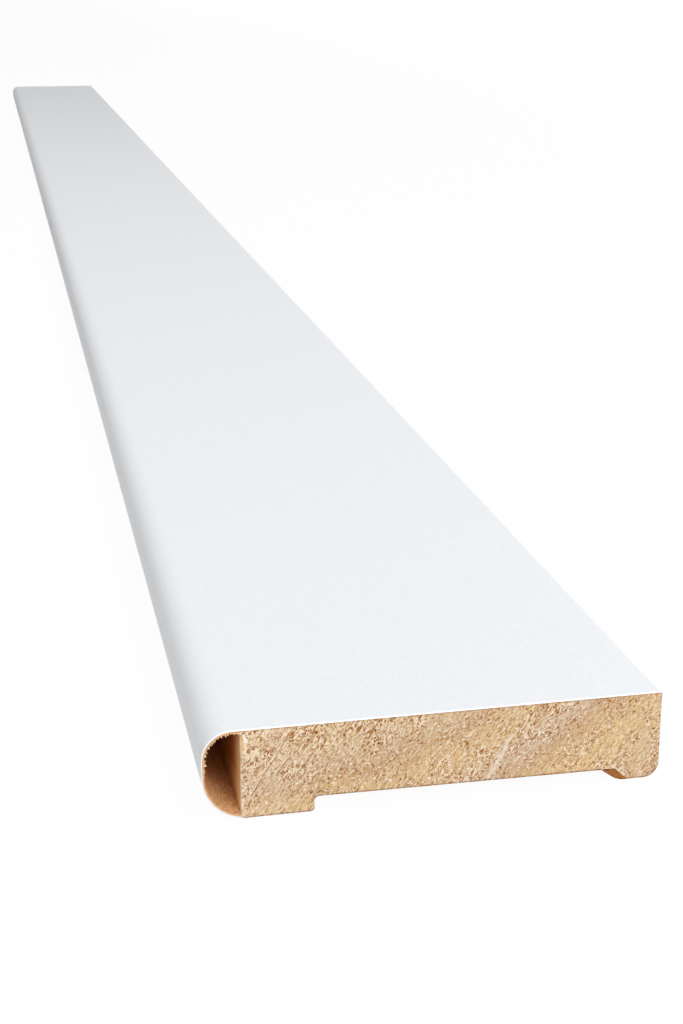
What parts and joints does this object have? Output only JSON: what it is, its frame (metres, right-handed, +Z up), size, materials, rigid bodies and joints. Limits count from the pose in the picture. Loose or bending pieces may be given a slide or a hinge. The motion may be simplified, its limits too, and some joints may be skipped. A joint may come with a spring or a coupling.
{
  "type": "architrave moulding",
  "caption": "Long flat architrave board with a white laminate face bent round a hollow D-shaped nose, on a solid softwood core with two feet and a shallow recess underneath.",
  "frame": {"origin": "middle of the board's length and width, on the plane that its two feet stand on", "axes": "+Y along the board, +X across it from the round nose to the square edge, +Z up out of the white face"},
  "size_m": [0.11, 2.1, 0.022],
  "materials": {
    "softwood": "sawn ends, planed sides",
    "white_laminate": "satin white decor on brown kraft backing"
  },
  "bodies": {
    "root": {"wood_core": "softwood", "laminate_skin": "white_laminate"}
  },
  "joints": []
}
